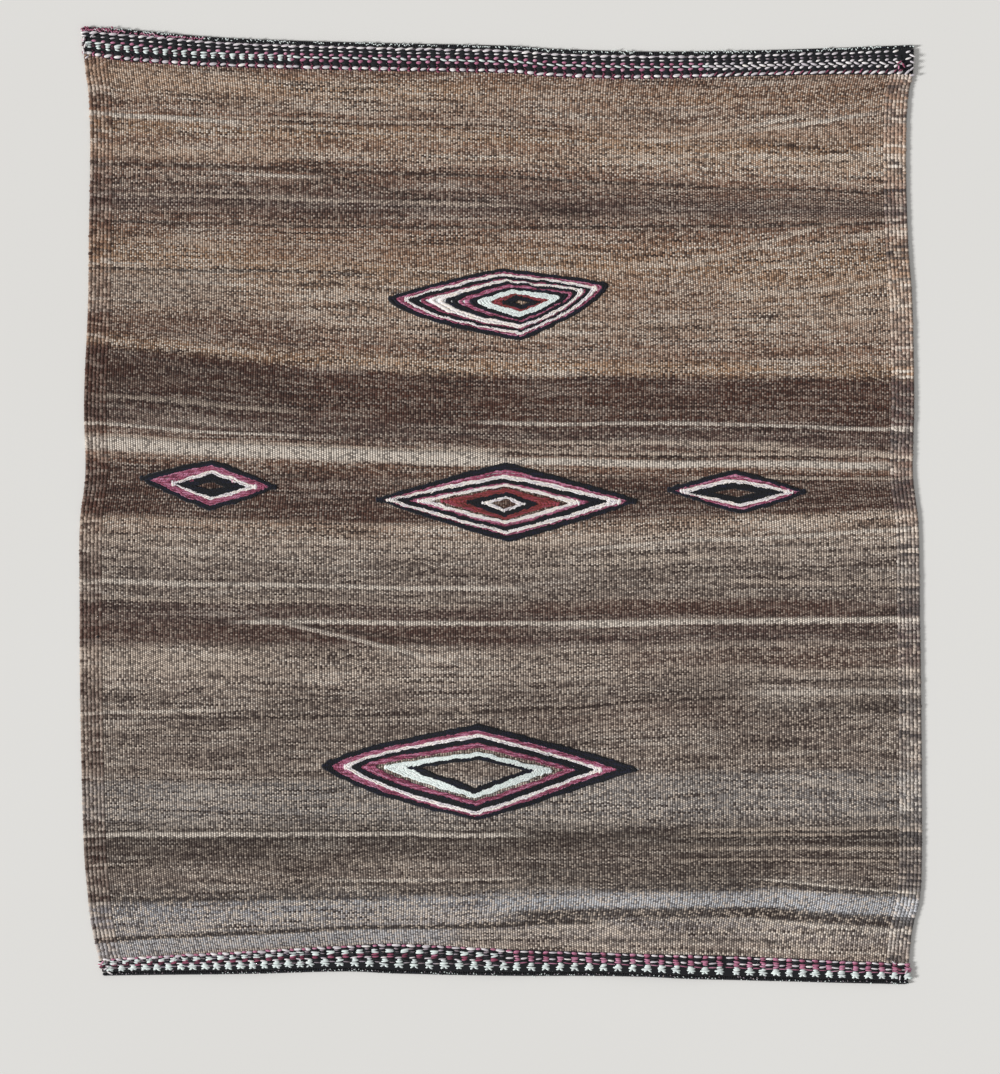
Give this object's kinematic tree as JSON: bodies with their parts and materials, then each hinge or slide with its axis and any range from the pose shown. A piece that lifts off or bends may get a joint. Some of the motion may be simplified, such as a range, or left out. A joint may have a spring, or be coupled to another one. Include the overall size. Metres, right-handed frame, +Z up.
{
  "type": "sofreh",
  "caption": "Flat-woven cloth laid on the floor for a meal: striped camel ground, corded selvedges, chequered end bands, overcast ends and lozenges ringed in coloured wool.",
  "frame": {"origin": "middle of the cloth, on the floor that it lies on", "axes": "+Z up from the floor, +Y along the warp towards the straighter end band with the ladder chequer, +X across the cloth along the weft"},
  "size_m": [1.222, 1.3893, 0.01],
  "materials": {
    "camel_wool": "matt weft-faced wool and camel hair, streaked across in browns, greys and white",
    "navy_wool": "matt wrapped wool, blue-black",
    "white_wool": "matt wrapped wool, off white",
    "rose_wool": "matt wrapped wool, faded rose",
    "madder_wool": "matt wrapped wool, brick red"
  },
  "bodies": {
    "root": {"cloth": "camel_wool", "end_band_top": "white_wool", "end_band_bottom": "white_wool", "end_binding_top": "navy_wool", "end_binding_bottom": "navy_wool", "top_lozenge_ring_1_navy": "navy_wool", "top_lozenge_ring_2_rose": "rose_wool", "top_lozenge_ring_3_white": "white_wool", "top_lozenge_ring_4_navy": "navy_wool", "top_lozenge_ring_5_rose": "rose_wool", "top_lozenge_ring_6_white": "white_wool", "top_lozenge_ring_7_navy": "navy_wool", "top_lozenge_ring_8_rose": "rose_wool", "top_lozenge_ring_9_navy": "navy_wool", "top_lozenge_ring_10_white": "white_wool", "top_lozenge_ring_11_madder": "madder_wool", "top_lozenge_ring_12_navy": "navy_wool", "middle_lozenge_ring_1_navy": "navy_wool", "middle_lozenge_ring_2_rose": "rose_wool", "middle_lozenge_ring_3_white": "white_wool", "middle_lozenge_ring_4_navy": "navy_wool", "middle_lozenge_ring_5_rose": "rose_wool", "middle_lozenge_ring_6_white": "white_wool", "middle_lozenge_ring_8_madder": "madder_wool", "middle_lozenge_ring_9_navy": "navy_wool", "middle_lozenge_ring_10_white": "white_wool", "left_lozenge_ring_1_navy": "navy_wool", "left_lozenge_ring_2_rose": "rose_wool", "left_lozenge_ring_3_white": "white_wool", "left_lozenge_ring_4_navy": "navy_wool", "right_lozenge_ring_1_navy": "navy_wool", "right_lozenge_ring_2_rose": "rose_wool", "right_lozenge_ring_3_white": "white_wool", "right_lozenge_ring_4_navy": "navy_wool", "bottom_lozenge_ring_1_navy": "navy_wool", "bottom_lozenge_ring_2_rose": "rose_wool", "bottom_lozenge_ring_3_white": "white_wool", "bottom_lozenge_ring_4_navy": "navy_wool", "bottom_lozenge_ring_5_rose": "rose_wool", "bottom_lozenge_ring_7_white": "white_wool", "bottom_lozenge_ring_8_navy": "navy_wool"}
  },
  "joints": []
}
